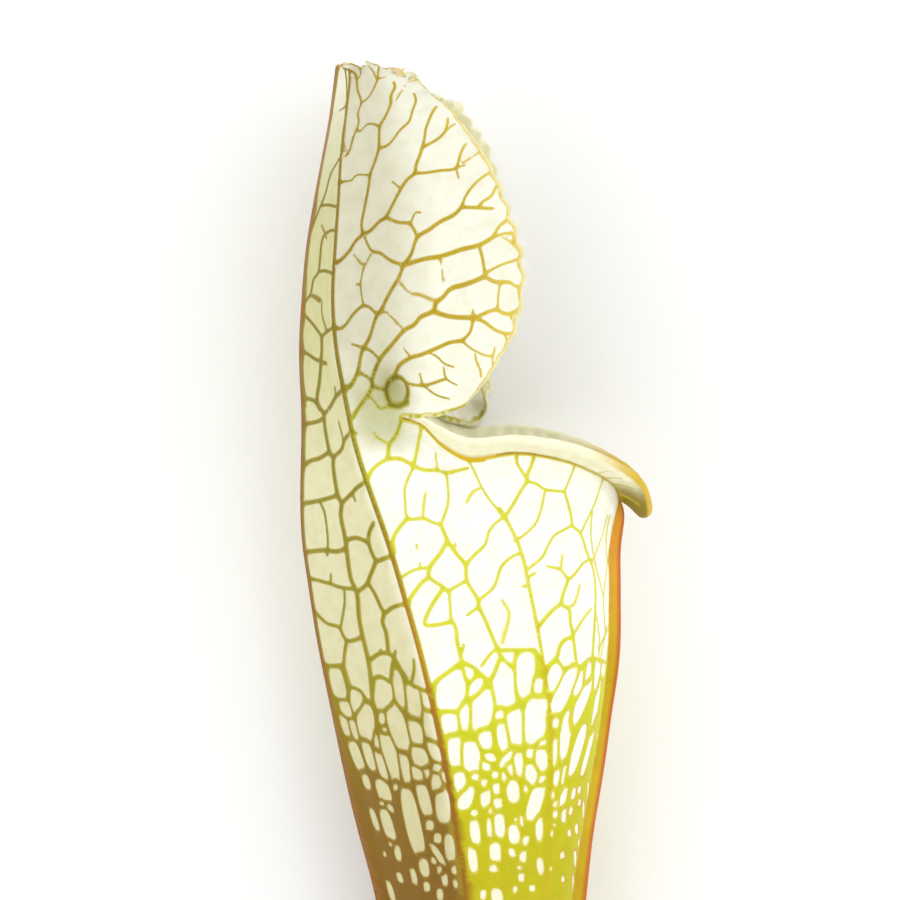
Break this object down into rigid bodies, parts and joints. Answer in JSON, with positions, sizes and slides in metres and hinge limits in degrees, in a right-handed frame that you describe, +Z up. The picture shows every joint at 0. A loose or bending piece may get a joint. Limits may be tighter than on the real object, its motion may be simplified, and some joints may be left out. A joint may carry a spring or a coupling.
{
  "type": "pitcher plant leaf",
  "caption": "Picked leaf of a white-topped pitcher plant: a hollow tube with a rolled lip, a narrow wing and a domed, wavy white hood with a raised net of veins, lying on its side.",
  "frame": {"origin": "on the surface that the leaf lies on, under the middle of its box", "axes": "+Y runs along the leaf from its cut stalk to its hood, +X towards its lip and wing, +Z up, away from the flank that it lies on"},
  "size_m": [0.0572, 0.364, 0.0471],
  "materials": {
    "leaf": "satin"
  },
  "bodies": {
    "root": {"pitcher_leaf": "leaf"}
  },
  "joints": []
}
